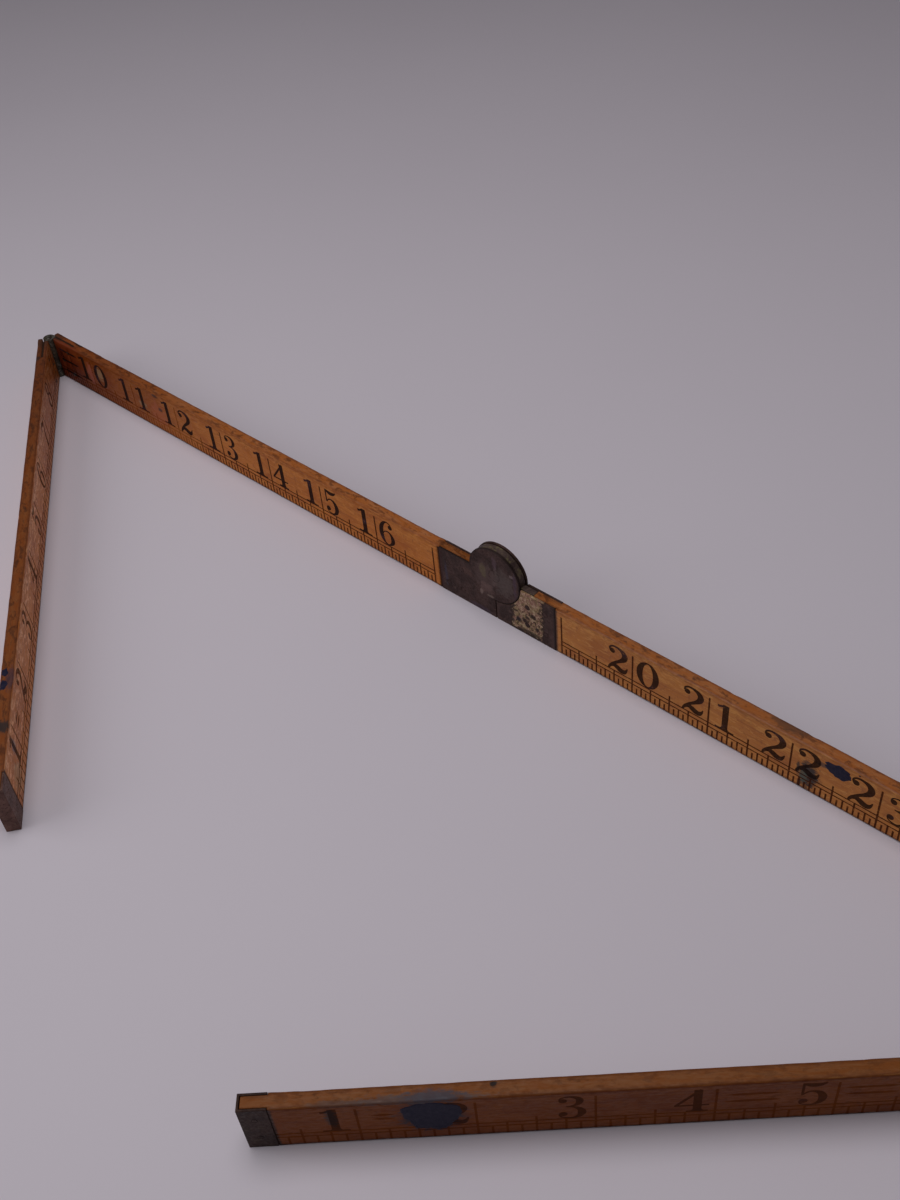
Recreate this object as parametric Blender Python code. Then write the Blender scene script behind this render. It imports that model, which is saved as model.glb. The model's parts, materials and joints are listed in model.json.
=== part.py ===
"""Narrow four-fold boxwood rule, 36 inches, standing on one narrow edge.

Four nine-inch legs, named A, B, C and D from the low end of the scale to the
high end. B and C stay in line across the round-headed middle joint. A and D
are folded forward about the two outer hinges. +X runs along B and C, -Y is
the side that the graduated faces of B and C look to, +Z is up.
"""

import math

import bmesh
import bpy
from mathutils import Vector

MM = 0.001
INCH = 25.4 * MM

# The wooden legs.
LEG_LENGTH = 9.0 * INCH
LEG_WIDTH = 17.0 * MM
LEG_THICKNESS = 4.0 * MM
LEG_EDGE_ROUND = 0.3 * MM
BUTT_GAP = 0.15 * MM

# How far each outer leg is folded away from straight.
FOLD_A = math.radians(141.8)
FOLD_D = math.radians(136.8)

# The outer hinges: a thin butt hinge let into a saw cut in the leg ends.
HINGE_AXIS_Y = -0.2 * MM
BARREL_RADIUS = 2.2 * MM
BARREL_CLEARANCE = 0.3 * MM
PIN_RADIUS = 0.8 * MM
PIN_BORE = 0.92 * MM
KNUCKLES = 5
KNUCKLE_GAP = 0.2 * MM
LEAF_THICKNESS = 0.7 * MM
LEAF_LENGTH = 14.0 * MM
LEAF_END_GAP = 0.1 * MM
KERF_CLEARANCE = 0.1 * MM
LEAF_RIVET_RADIUS = 0.6 * MM
LEAF_RIVET_PLACES = ((6.0 * MM, 8.5 * MM), (10.5 * MM, 3.6 * MM), (10.5 * MM, 13.4 * MM))

# The middle joint: B carries the two outer discs, C the disc between them.
PIVOT_RISE = 0.25 * MM
PIVOT_Z = LEG_WIDTH + PIVOT_RISE
DISC_RADIUS = 9.85 * MM
TONGUE_DISC_RADIUS = 9.6 * MM
DISC_CLEARANCE = 0.25 * MM
PLATE_THICKNESS = 0.75 * MM
PLATE_PROUD = 0.05 * MM
PLATE_EDGE_ROUND = 0.12 * MM
PLATE_B_LENGTH = 22.6 * MM
PLATE_C_LENGTH = 23.1 * MM
TONGUE_THICKNESS = 2.1 * MM
TONGUE_LENGTH = 14.5 * MM
PIVOT_RADIUS = 2.0 * MM
PLATE_RIVET_RADIUS = 0.9 * MM
# Each rivet's x from the 18 inch line and its height, in mm.
PLATE_RIVETS_B = ((-19.3, 4.3), (-19.3, 12.7), (-13.4, 4.3), (-13.4, 12.7))
PLATE_RIVETS_C = ((12.3, 4.3), (12.6, 11.6), (19.4, 4.3), (19.4, 12.7))

# The metal caps that wrap the two free ends.
CAP_LENGTH = 6.6 * MM
CAP_THICKNESS = 0.6 * MM
CAP_END_SETBACK = 0.3 * MM
CAP_RIVET_RADIUS = 0.65 * MM
CAP_RIVET_HEIGHTS = (4.6 * MM, 12.4 * MM)

# Clearances between pieces that are fixed to each other.
FIT_GAP = 0.15 * MM
BORE_GAP = 0.1 * MM
RIVET_PROUD = 0.03 * MM

ARC_STEP = math.radians(5.0)
BARREL_SIDES = 36
RIVET_SIDES = 20


def clear_scene():
    """Remove whatever the open file starts with."""
    for item in list(bpy.data.objects):
        bpy.data.objects.remove(item, do_unlink=True)


def make_material(name, colour, roughness, metallic):
    """Return a Principled material with one base colour."""
    material = bpy.data.materials.new(name)
    material.use_nodes = True
    shader = material.node_tree.nodes["Principled BSDF"]
    shader.inputs["Base Color"].default_value = (*colour, 1.0)
    shader.inputs["Roughness"].default_value = roughness
    shader.inputs["Metallic"].default_value = metallic
    material.diffuse_color = (*colour, 1.0)
    return material


def make_empty(name, parent, location, turn_z=0.0):
    """Return an empty that carries one leg and sits on its joint's axis."""
    empty = bpy.data.objects.new(name, None)
    bpy.context.collection.objects.link(empty)
    empty.parent = parent
    empty.location = location
    empty.rotation_euler = (0.0, 0.0, turn_z)
    return empty


def link_mesh(name, shape, parent, location, material=None):
    """Turn a bmesh into an object under its parent."""
    bmesh.ops.recalc_face_normals(shape, faces=shape.faces)
    if shape.calc_volume(signed=True) < 0.0:
        bmesh.ops.reverse_faces(shape, faces=shape.faces)
    mesh = bpy.data.meshes.new(name)
    shape.to_mesh(mesh)
    shape.free()
    if material is not None:
        mesh.materials.append(material)
    item = bpy.data.objects.new(name, mesh)
    bpy.context.collection.objects.link(item)
    item.parent = parent
    item.location = location
    return item


def box_shape(low, high):
    """Return a box between two corners."""
    shape = bmesh.new()
    bmesh.ops.create_cube(shape, size=1.0)
    size = Vector(high) - Vector(low)
    middle = (Vector(high) + Vector(low)) / 2.0
    for vert in shape.verts:
        vert.co = Vector(a * b for a, b in zip(vert.co, size)) + middle
    return shape


def extrude_outline(points, direction):
    """Return a prism: a flat outline pushed along a direction."""
    shape = bmesh.new()
    face = shape.faces.new([shape.verts.new(point) for point in points])
    pushed = bmesh.ops.extrude_face_region(shape, geom=[face])
    moved = [part for part in pushed["geom"] if isinstance(part, bmesh.types.BMVert)]
    bmesh.ops.translate(shape, verts=moved, vec=direction)
    return shape


def arc_points(centre, radius, start, end):
    """Return points of an arc in the XZ plane, ends included."""
    count = max(2, round(abs(end - start) / ARC_STEP))
    angles = [start + (end - start) * step / count for step in range(count + 1)]
    return [
        (centre[0] + radius * math.cos(angle), centre[1] + radius * math.sin(angle))
        for angle in angles
    ]


def plate_shape(outline, front, back):
    """Return a plate from an XZ outline, between two depths in Y."""
    points = [(x, front, z) for x, z in outline]
    return extrude_outline(points, (0.0, back - front, 0.0))


def rod_shape(radius, start, end, axis, sides, end_round=0.0):
    """Return a round bar from start to end along Y or Z."""
    shape = bmesh.new()
    bmesh.ops.create_cone(
        shape, cap_ends=True, segments=sides, radius1=radius, radius2=radius, depth=end - start
    )
    if end_round > 0.0:
        rims = [edge for edge in shape.edges if abs(edge.verts[0].co.z - edge.verts[1].co.z) < 1e-7]
        bmesh.ops.bevel(shape, geom=rims, offset=end_round, segments=1, affect="EDGES")
    middle = (start + end) / 2.0
    for vert in shape.verts:
        along = vert.co.z + middle
        if axis == "Y":
            vert.co = (vert.co.x, along, -vert.co.y)
        else:
            vert.co = (vert.co.x, vert.co.y, along)
    return shape


def cut(target, shape, name, operation="DIFFERENCE"):
    """Boolean one closed shape, given in the target's own coordinates, into it."""
    cutter = link_mesh(name, shape, target.parent, target.location)
    cutter.hide_render = True
    cutter.display_type = "WIRE"
    modifier = target.modifiers.new(name, "BOOLEAN")
    modifier.operation = operation
    modifier.solver = "EXACT"
    modifier.object = cutter


def round_edges(item, width, segments):
    """Ease the sharp edges of a piece."""
    modifier = item.modifiers.new("eased_edges", "BEVEL")
    modifier.width = width
    modifier.segments = segments
    modifier.limit_method = "ANGLE"
    modifier.angle_limit = math.radians(50.0)


def shade_round(item):
    """Shade the curved faces smooth and keep the corners sharp."""
    item.data.shade_smooth()
    item.data.set_sharp_from_angle(angle=math.radians(35.0))


def leg_blank(name, parent, location, side, reach, material):
    """Return the plain wooden strip of one leg, from the hinge end outwards."""
    near = side * BUTT_GAP
    far = side * reach
    low = (min(near, far), 0.0, 0.0)
    high = (max(near, far), LEG_THICKNESS, LEG_WIDTH)
    wood = link_mesh(name, box_shape(low, high), parent, location, material)
    round_edges(wood, LEG_EDGE_ROUND, 3)
    return wood


def cut_hinge_end(wood, side):
    """Cut the barrel's hollow, the saw cut for the leaf and its rivet holes."""
    barrel = rod_shape(
        BARREL_RADIUS + BARREL_CLEARANCE, -MM, LEG_WIDTH + MM, "Z", BARREL_SIDES
    )
    bmesh.ops.translate(barrel, verts=barrel.verts, vec=(0.0, HINGE_AXIS_Y, 0.0))
    cut(wood, barrel, wood.name + "_barrel_hollow")
    ends = sorted((-side * MM, side * (LEAF_LENGTH + KERF_CLEARANCE)))
    front = HINGE_AXIS_Y + BARREL_RADIUS - LEAF_THICKNESS - KERF_CLEARANCE
    back = HINGE_AXIS_Y + BARREL_RADIUS + KERF_CLEARANCE
    kerf = box_shape((ends[0], front, -MM), (ends[1], back, LEG_WIDTH + MM))
    cut(wood, kerf, wood.name + "_leaf_kerf")
    for index, (reach, height) in enumerate(LEAF_RIVET_PLACES, 1):
        drill(wood, side * reach, height, LEAF_RIVET_RADIUS, f"leaf_hole_{index}")


def drill(item, x, z, radius, name):
    """Drill a hole along Y through a piece, wide enough to clear its rivet."""
    hole = rod_shape(radius + BORE_GAP, -MM, LEG_THICKNESS + MM, "Y", RIVET_SIDES)
    bmesh.ops.translate(hole, verts=hole.verts, vec=(x, 0.0, z))
    cut(item, hole, f"{item.name}_{name}")


def cut_cap_end(wood, side):
    """Thin the free end so that the cap lies flush with both faces."""
    inner = side * (LEG_LENGTH - CAP_END_SETBACK - CAP_LENGTH - FIT_GAP)
    outer = side * (LEG_LENGTH + MM)
    low_x, high_x = sorted((inner, outer))
    depth = CAP_THICKNESS - PLATE_PROUD + FIT_GAP
    front = box_shape((low_x, -MM, -MM), (high_x, depth, LEG_WIDTH + MM))
    cut(wood, front, wood.name + "_cap_rebate_front")
    back = box_shape(
        (low_x, LEG_THICKNESS - depth, -MM), (high_x, LEG_THICKNESS + MM, LEG_WIDTH + MM)
    )
    cut(wood, back, wood.name + "_cap_rebate_back")
    for index, height in enumerate(CAP_RIVET_HEIGHTS, 1):
        drill(wood, side * cap_rivet_reach(), height, CAP_RIVET_RADIUS, f"cap_hole_{index}")


def cap_rivet_reach():
    """Return how far the cap's rivets sit from the hinge end of the leg."""
    return LEG_LENGTH - CAP_END_SETBACK - CAP_LENGTH / 2.0


def cut_joint_end(wood, side, plate_length, rivets, shift):
    """Thin the middle-joint end between its plates and clear the discs.

    shift is the 18 inch line's x in the wood's own coordinates.
    """
    inner = shift - side * (plate_length + FIT_GAP)
    outer = shift + side * MM
    low_x, high_x = sorted((inner, outer))
    depth = PLATE_THICKNESS - PLATE_PROUD + FIT_GAP
    front = box_shape((low_x, -MM, -MM), (high_x, depth, LEG_WIDTH + MM))
    cut(wood, front, wood.name + "_plate_rebate_front")
    back = box_shape(
        (low_x, LEG_THICKNESS - depth, -MM), (high_x, LEG_THICKNESS + MM, LEG_WIDTH + MM)
    )
    cut(wood, back, wood.name + "_plate_rebate_back")
    for index, (x, z) in enumerate(rivets, 1):
        drill(wood, shift + x * MM, z * MM, PLATE_RIVET_RADIUS, f"plate_hole_{index}")


def make_outer_leg(letter, parent, side, wood_material, metal):
    """Build leg A or D: the wood, its cap and the cap's rivets."""
    place = (0.0, -HINGE_AXIS_Y, 0.0)
    reach = LEG_LENGTH - CAP_END_SETBACK - CAP_THICKNESS - FIT_GAP
    wood = leg_blank(f"leg_{letter}_wood", parent, place, side, reach, wood_material)
    cut_hinge_end(wood, side)
    cut_cap_end(wood, side)
    make_cap(letter, parent, place, side, metal)


def make_cap(letter, parent, place, side, metal):
    """Build the strip that wraps one free end, with its two rivets."""
    tip = LEG_LENGTH - CAP_END_SETBACK
    root = tip - CAP_LENGTH
    front = -PLATE_PROUD
    back = LEG_THICKNESS + PLATE_PROUD
    outline = [
        (root, front),
        (tip, front),
        (tip, back),
        (root, back),
        (root, back - CAP_THICKNESS),
        (tip - CAP_THICKNESS, back - CAP_THICKNESS),
        (tip - CAP_THICKNESS, front + CAP_THICKNESS),
        (root, front + CAP_THICKNESS),
    ]
    points = [(side * x, y, 0.0) for x, y in outline]
    shape = extrude_outline(points, (0.0, 0.0, LEG_WIDTH))
    cap = link_mesh(f"tip_cap_{letter}", shape, parent, place, metal)
    round_edges(cap, PLATE_EDGE_ROUND, 2)
    for index, height in enumerate(CAP_RIVET_HEIGHTS, 1):
        x = side * cap_rivet_reach()
        drill(cap, x, height, CAP_RIVET_RADIUS, f"hole_{index}")
        name = f"cap_rivet_{letter}_{index}"
        make_rivet(name, parent, place, (x, height), CAP_RIVET_RADIUS, PLATE_PROUD, metal)


def make_rivet(name, parent, place, at, radius, proud, metal):
    """Build one rivet that passes through the whole thickness of a leg."""
    reach = proud + RIVET_PROUD
    shape = rod_shape(radius, -reach, LEG_THICKNESS + reach, "Y", RIVET_SIDES, 0.06 * MM)
    spot = (place[0] + at[0], place[1], place[2] + at[1])
    rivet = link_mesh(name, shape, parent, spot, metal)
    shade_round(rivet)


def knuckle_spans():
    """Return the low and high end of each knuckle, from the bottom up."""
    low = LEAF_END_GAP
    pitch = (LEG_WIDTH - 2.0 * LEAF_END_GAP + KNUCKLE_GAP) / KNUCKLES
    return [(low + pitch * step, low + pitch * (step + 1) - KNUCKLE_GAP) for step in range(KNUCKLES)]


def make_leaf(name, parent, side, owned, metal):
    """Build one hinge leaf: a plate in the saw cut and its rolled knuckles."""
    plate_front = BARREL_RADIUS - LEAF_THICKNESS
    clear = BARREL_RADIUS + BARREL_CLEARANCE
    low_x, high_x = sorted((side * clear, side * LEAF_LENGTH))
    top = LEG_WIDTH - LEAF_END_GAP
    plate = box_shape((low_x, plate_front, LEAF_END_GAP), (high_x, BARREL_RADIUS, top))
    leaf = link_mesh(name, plate, parent, (0.0, 0.0, 0.0), metal)
    overlap = side * (clear + LEAF_THICKNESS)
    for index, (low, high) in enumerate(knuckle_spans()):
        if index % 2 == owned:
            eye = rod_shape(BARREL_RADIUS, low, high, "Z", BARREL_SIDES)
            cut(leaf, eye, f"{name}_eye_{index}", "UNION")
            arm_x = sorted((0.0, overlap))
            arm = box_shape((arm_x[0], plate_front, low), (arm_x[1], BARREL_RADIUS, high))
            cut(leaf, arm, f"{name}_arm_{index}", "UNION")
    bore = rod_shape(PIN_BORE, -MM, LEG_WIDTH + MM, "Z", BARREL_SIDES)
    cut(leaf, bore, f"{name}_pin_bore")
    for index, (reach, height) in enumerate(LEAF_RIVET_PLACES, 1):
        drill(leaf, side * reach, height, LEAF_RIVET_RADIUS, f"hole_{index}")
    return leaf


def make_hinge(label, inner_letter, outer_letter, inner, outer, inner_place, side, metal):
    """Build one outer hinge between an inner leg and the leg that folds on it.

    side is the direction in X from the hinge towards the outer leg.
    """
    seat = make_empty(f"{label}_seat", inner, inner_place)
    make_leaf(f"{label}_leaf_{inner_letter}", seat, -side, 0, metal)
    make_leaf(f"{label}_leaf_{outer_letter}", outer, side, 1, metal)
    pin = rod_shape(
        PIN_RADIUS, LEAF_END_GAP / 2.0, LEG_WIDTH - LEAF_END_GAP / 2.0, "Z", RIVET_SIDES, 0.1 * MM
    )
    shade_round(link_mesh(f"{label}_pin", pin, seat, (0.0, 0.0, 0.0), metal))
    wood_face = (0.0, -HINGE_AXIS_Y, 0.0)
    for index, (reach, height) in enumerate(LEAF_RIVET_PLACES, 1):
        for letter, parent, way in ((inner_letter, seat, -side), (outer_letter, outer, side)):
            name = f"{label}_rivet_{letter}_{index}"
            spot = (way * reach, height)
            make_rivet(name, parent, wood_face, spot, LEAF_RIVET_RADIUS, 0.0, metal)


def plate_outline_b():
    """Outline of B's face plate: the leg's end with the whole disc on it."""
    edge = -BUTT_GAP
    centre = (0.0, PIVOT_Z)
    start = -math.pi / 2.0 - math.asin(BUTT_GAP / DISC_RADIUS)
    end = math.pi + math.asin(PIVOT_RISE / DISC_RADIUS)
    arc = arc_points(centre, DISC_RADIUS, start, end)
    return [(-PLATE_B_LENGTH, 0.0), (edge, 0.0), *arc, (-PLATE_B_LENGTH, LEG_WIDTH)]


def plate_outline_c():
    """Outline of C's face plate: the leg's end, hollowed around the disc."""
    radius = DISC_RADIUS + DISC_CLEARANCE
    centre = (0.0, PIVOT_Z)
    start = -math.asin(PIVOT_RISE / radius)
    end = -math.acos(BUTT_GAP / radius)
    arc = arc_points(centre, radius, start, end)
    return [(BUTT_GAP, 0.0), (PLATE_C_LENGTH, 0.0), (PLATE_C_LENGTH, LEG_WIDTH), *arc]


def tongue_outline():
    """Outline of C's middle layer: a disc with a square shank."""
    centre = (0.0, PIVOT_Z)
    start = -math.asin(PIVOT_RISE / TONGUE_DISC_RADIUS)
    end = 2.0 * math.pi - math.acos(BUTT_GAP / TONGUE_DISC_RADIUS)
    arc = arc_points(centre, TONGUE_DISC_RADIUS, start, end)
    return [(BUTT_GAP, 0.0), (TONGUE_LENGTH, 0.0), (TONGUE_LENGTH, LEG_WIDTH), *arc]


def add_joint_plate(name, outline, depths, parent, place, rivets, pivot, metal):
    """Build one layer of the middle joint with its rivet holes."""
    item = link_mesh(name, plate_shape(outline, *depths), parent, place, metal)
    round_edges(item, PLATE_EDGE_ROUND, 1)
    for index, (x, z) in enumerate(rivets, 1):
        drill(item, x * MM, z * MM, PLATE_RIVET_RADIUS, f"hole_{index}")
    if pivot:
        drill(item, 0.0, PIVOT_Z, PIVOT_RADIUS, "pivot_hole")
    shade_round(item)
    return item


def make_middle_joint(leg_b, leg_c, metal):
    """Build the two plates of B, the three layers of C and every rivet."""
    place_b = (0.0, 0.0, 0.0)
    place_c = (0.0, 0.0, -PIVOT_Z)
    front = (-PLATE_PROUD, PLATE_THICKNESS - PLATE_PROUD)
    back = (LEG_THICKNESS - front[1], LEG_THICKNESS - front[0])
    inset = (LEG_THICKNESS - TONGUE_THICKNESS) / 2.0
    middle = (inset, LEG_THICKNESS - inset)
    outline_b = plate_outline_b()
    outline_c = plate_outline_c()
    for face, depths in (("front", front), ("back", back)):
        name_b = f"joint_plate_b_{face}"
        name_c = f"joint_plate_c_{face}"
        add_joint_plate(name_b, outline_b, depths, leg_b, place_b, PLATE_RIVETS_B, True, metal)
        add_joint_plate(name_c, outline_c, depths, leg_c, place_c, PLATE_RIVETS_C, False, metal)
    through_tongue = [spot for spot in PLATE_RIVETS_C if spot[0] * MM < TONGUE_LENGTH]
    add_joint_plate(
        "joint_tongue_c", tongue_outline(), middle, leg_c, place_c, through_tongue, True, metal
    )
    pivot_at = (0.0, PIVOT_Z)
    make_rivet("pivot_rivet", leg_b, place_b, pivot_at, PIVOT_RADIUS, PLATE_PROUD, metal)
    groups = (("b", leg_b, place_b, PLATE_RIVETS_B), ("c", leg_c, place_c, PLATE_RIVETS_C))
    for letter, parent, place, spots in groups:
        for index, (x, z) in enumerate(spots, 1):
            name = f"joint_rivet_{letter}_{index}"
            at = (x * MM, z * MM)
            make_rivet(name, parent, place, at, PLATE_RIVET_RADIUS, PLATE_PROUD, metal)


def make_inner_legs(leg_b, leg_c, wood_b, wood_c):
    """Build the wood of B and C, cut for the outer hinges and the joint."""
    arc = DISC_RADIUS + DISC_CLEARANCE
    place_b = (-LEG_LENGTH, 0.0, 0.0)
    place_c = (LEG_LENGTH, 0.0, -PIVOT_Z)
    in_wood_c = [spot for spot in PLATE_RIVETS_C if spot[0] * MM > TONGUE_LENGTH]
    plans = (
        ("leg_b_wood", leg_b, place_b, 1, PLATE_B_LENGTH, PLATE_RIVETS_B, wood_b),
        ("leg_c_wood", leg_c, place_c, -1, PLATE_C_LENGTH, in_wood_c, wood_c),
    )
    for name, parent, place, side, plate_length, rivets, material in plans:
        wood = leg_blank(name, parent, place, side, LEG_LENGTH - BUTT_GAP, material)
        cut_hinge_end(wood, side)
        shift = side * LEG_LENGTH
        cut_joint_end(wood, side, plate_length, rivets, shift)
        disc = rod_shape(arc, -MM, LEG_THICKNESS + MM, "Y", 2 * BARREL_SIDES)
        bmesh.ops.translate(disc, verts=disc.verts, vec=(shift, 0.0, PIVOT_Z))
        cut(wood, disc, name + "_disc_hollow")
        if side < 0:
            shank = box_shape(
                (shift - MM, -MM, -MM),
                (shift + TONGUE_LENGTH + FIT_GAP, LEG_THICKNESS + MM, LEG_WIDTH + MM),
            )
            cut(wood, shank, name + "_tongue_slot")


def stand_over_origin(root):
    """Move the rule so that the middle of its footprint is the origin."""
    bpy.context.view_layer.update()
    graph = bpy.context.evaluated_depsgraph_get()
    corners = []
    for item in bpy.data.objects:
        if item.type == "MESH" and not item.hide_render:
            solid = item.evaluated_get(graph)
            corners += [solid.matrix_world @ vert.co for vert in solid.data.vertices]
    low = Vector(min(corner[axis] for corner in corners) for axis in range(3))
    high = Vector(max(corner[axis] for corner in corners) for axis in range(3))
    root.location = (-(low.x + high.x) / 2.0, -(low.y + high.y) / 2.0, -low.z)


def main():
    """Build the whole rule."""
    clear_scene()
    wood_lit = make_material("boxwood_varnished", (0.46, 0.20, 0.055), 0.42, 0.0)
    wood_dark = make_material("boxwood_darkened", (0.38, 0.15, 0.045), 0.45, 0.0)
    joint_metal = make_material("joint_brass_patina", (0.085, 0.065, 0.06), 0.45, 0.9)
    hinge_metal = make_material("hinge_brass_patina", (0.12, 0.11, 0.075), 0.45, 0.9)
    cap_metal = make_material("cap_brass_patina", (0.10, 0.085, 0.075), 0.42, 0.9)

    root = make_empty("leg_b", None, (0.0, 0.0, 0.0))
    leg_c = make_empty("leg_c_pivot", root, (0.0, 0.0, PIVOT_Z))
    at_9 = (-LEG_LENGTH, HINGE_AXIS_Y, 0.0)
    at_27 = (LEG_LENGTH, HINGE_AXIS_Y, -PIVOT_Z)
    leg_a = make_empty("leg_a_pivot", root, at_9, FOLD_A)
    leg_d = make_empty("leg_d_pivot", leg_c, at_27, -FOLD_D)

    make_inner_legs(root, leg_c, wood_lit, wood_lit)
    make_outer_leg("a", leg_a, -1, wood_dark, cap_metal)
    make_outer_leg("d", leg_d, 1, wood_dark, cap_metal)
    make_hinge("hinge_9", "b", "a", root, leg_a, at_9, -1, hinge_metal)
    make_hinge("hinge_27", "c", "d", leg_c, leg_d, at_27, 1, hinge_metal)
    make_middle_joint(root, leg_c, joint_metal)
    stand_over_origin(root)


main()
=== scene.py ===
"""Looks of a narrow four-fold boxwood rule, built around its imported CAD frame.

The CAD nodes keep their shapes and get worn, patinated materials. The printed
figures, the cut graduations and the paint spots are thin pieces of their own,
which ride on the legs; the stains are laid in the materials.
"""

import json
import math

import bmesh
import bpy
from mathutils import Matrix, Vector, noise
from mathutils.geometry import delaunay_2d_cdt


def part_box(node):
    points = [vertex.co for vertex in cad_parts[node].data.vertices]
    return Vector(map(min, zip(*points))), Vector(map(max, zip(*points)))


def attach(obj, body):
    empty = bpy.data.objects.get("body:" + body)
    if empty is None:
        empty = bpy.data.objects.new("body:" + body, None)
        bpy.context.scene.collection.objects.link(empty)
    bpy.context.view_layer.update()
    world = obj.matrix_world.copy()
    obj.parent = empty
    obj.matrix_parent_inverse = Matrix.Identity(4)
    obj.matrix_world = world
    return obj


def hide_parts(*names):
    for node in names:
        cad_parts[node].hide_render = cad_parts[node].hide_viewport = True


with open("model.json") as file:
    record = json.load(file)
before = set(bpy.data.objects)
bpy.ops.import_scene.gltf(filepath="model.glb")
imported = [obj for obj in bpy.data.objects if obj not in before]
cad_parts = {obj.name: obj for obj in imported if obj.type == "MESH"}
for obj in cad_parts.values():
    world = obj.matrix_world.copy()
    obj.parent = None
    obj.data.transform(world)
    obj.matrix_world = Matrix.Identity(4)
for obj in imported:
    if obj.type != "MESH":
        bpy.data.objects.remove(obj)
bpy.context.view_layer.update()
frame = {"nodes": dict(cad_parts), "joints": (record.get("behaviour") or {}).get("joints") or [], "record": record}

MM = 0.001
INCH = 25.4 * MM
RULE_INCHES = 36
MIDDLE_INCH = 18
LOW_HINGE_INCH = 9
HIGH_HINGE_INCH = 27

joints = {joint["name"]: joint for joint in frame["joints"]}
mounts = {mount["name"]: mount for mount in frame["record"]["mounts"]}
wood_low, wood_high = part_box("leg_b_wood")
FACE_Y = wood_low.y
THICKNESS = wood_high.y - wood_low.y
WIDTH = wood_high.z - wood_low.z
PIVOT = Vector(joints["middle_joint"]["pos_m"])

# ---- the legs


class Leg:
    """Where one leg lies.

    Its own x runs up the scale from the rule's zero, as if the rule were
    straight there, its y from the first face to the second, its z is up.
    """

    def __init__(self, letter, anchor, angle, anchor_inch, set_back):
        self.letter = letter
        self.body = "leg_" + letter
        self.wood = frame["nodes"][f"leg_{letter}_wood"]
        self.angle = angle
        turn = Matrix.Translation(anchor) @ Matrix.Rotation(angle, 4, "Z")
        self.matrix = turn @ Matrix.Translation((-anchor_inch * INCH, set_back, 0))


def scale_angle(mount_name, sign):
    """Angle of a folded leg's scale, from the direction its tip faces."""
    facing = Vector(mounts[mount_name]["axis"]) * sign
    return math.atan2(facing.y, facing.x)


def make_legs():
    """Return the four legs by letter."""
    middle = Vector((PIVOT.x, FACE_Y, 0))
    hinges = {}
    for name in ("hinge_9", "hinge_27"):
        place = Vector(joints[name]["pos_m"])
        hinges[name] = Vector((place.x, place.y, 0))
    set_back = FACE_Y - hinges["hinge_9"].y
    angle_a = scale_angle("tip_face_a", -1)
    angle_d = scale_angle("tip_face_d", 1)
    return {
        "a": Leg("a", hinges["hinge_9"], angle_a, LOW_HINGE_INCH, set_back),
        "b": Leg("b", middle, 0, MIDDLE_INCH, 0),
        "c": Leg("c", middle, 0, MIDDLE_INCH, 0),
        "d": Leg("d", hinges["hinge_27"], angle_d, HIGH_HINGE_INCH, set_back),
    }


LEGS = make_legs()


def add_object(name, data):
    """Add an object to the scene."""
    item = bpy.data.objects.new(name, data)
    bpy.context.collection.objects.link(item)
    return item


# ---- worn wood edges

WEAR_REACH = 0.55 * MM  # how far from an arris the wood is worn
WEAR_BASE = 0.05 * MM
WEAR_SPAN = 0.24 * MM
WEAR_SLOW_WAVE = 19 * MM
WEAR_QUICK_WAVE = 3.1 * MM
WEAR_FADE = 2 * MM
WEAR_ASLANT = 0.7  # the share of the wear that goes each way
RING_STEP = 1.6 * MM
NICKS_PER_ARRIS = 7
FLAT_ANGLE = math.radians(0.5)
SHARP_ANGLE = math.radians(50)
MERGE_DISTANCE = 1e-6


def noise_at(u, seed, wave):
    """Return smooth noise along a leg, about -1 to 1."""
    return noise.noise(Vector((u / wave, seed * 7.31, seed * 3.17)))


def make_nicks(leg):
    """Return the dents in each of a leg's four arrises."""
    dents = []
    for arris in range(4):
        for index in range(NICKS_PER_ARRIS):
            seed = ord(leg.letter) * 31.7 + arris * 11.3 + index * 5.9
            share = 0.5 + 0.5 * math.sin(seed * 12.9898)
            depth = (0.17 + 0.12 * math.sin(seed * 78.233)) * MM
            dents.append((arris, share, depth, (1.1 + 0.6 * math.sin(seed)) * MM))
    return dents


def arris_wear(leg, dents, start, end, u, arris):
    """Return how far an arris is worn back at a place along a leg."""
    seed = ord(leg.letter) + 4 * arris
    slow = 0.5 + 0.5 * noise_at(u, seed, WEAR_SLOW_WAVE)
    quick = 0.5 + 0.5 * noise_at(u, seed + 0.5, WEAR_QUICK_WAVE)
    wear = WEAR_BASE + WEAR_SPAN * slow * quick
    for where, share, depth, width in dents:
        if where == arris:
            centre = start + share * (end - start)
            wear += depth * math.exp(-((u - centre) / width) ** 2)
    fade = min(u - start, end - u) / WEAR_FADE
    return wear * max(0, min(1, fade))


def cut_for_wear(shape, start, end):
    """Cut a leg's plain mesh along its arrises and into short lengths."""
    bmesh.ops.remove_doubles(shape, verts=shape.verts, dist=MERGE_DISTANCE)
    bmesh.ops.dissolve_limit(shape, angle_limit=FLAT_ANGLE, verts=shape.verts, edges=shape.edges)
    cuts = []
    for reach in (WEAR_REACH, 1.4 * WEAR_REACH):
        cuts += [(Vector((0, 0, z)), Vector((0, 0, 1))) for z in (reach, WIDTH - reach)]
        cuts += [(Vector((0, y, 0)), Vector((0, 1, 0))) for y in (reach, THICKNESS - reach)]
    rings = int((end - start) / RING_STEP)
    for index in range(rings + 1):
        cuts.append((Vector((start + (end - start) * index / rings, 0, 0)), Vector((1, 0, 0))))
    for place, normal in cuts:
        geometry = shape.verts[:] + shape.edges[:] + shape.faces[:]
        bmesh.ops.bisect_plane(
            shape, geom=geometry, dist=MERGE_DISTANCE, plane_co=place, plane_no=normal
        )


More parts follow.
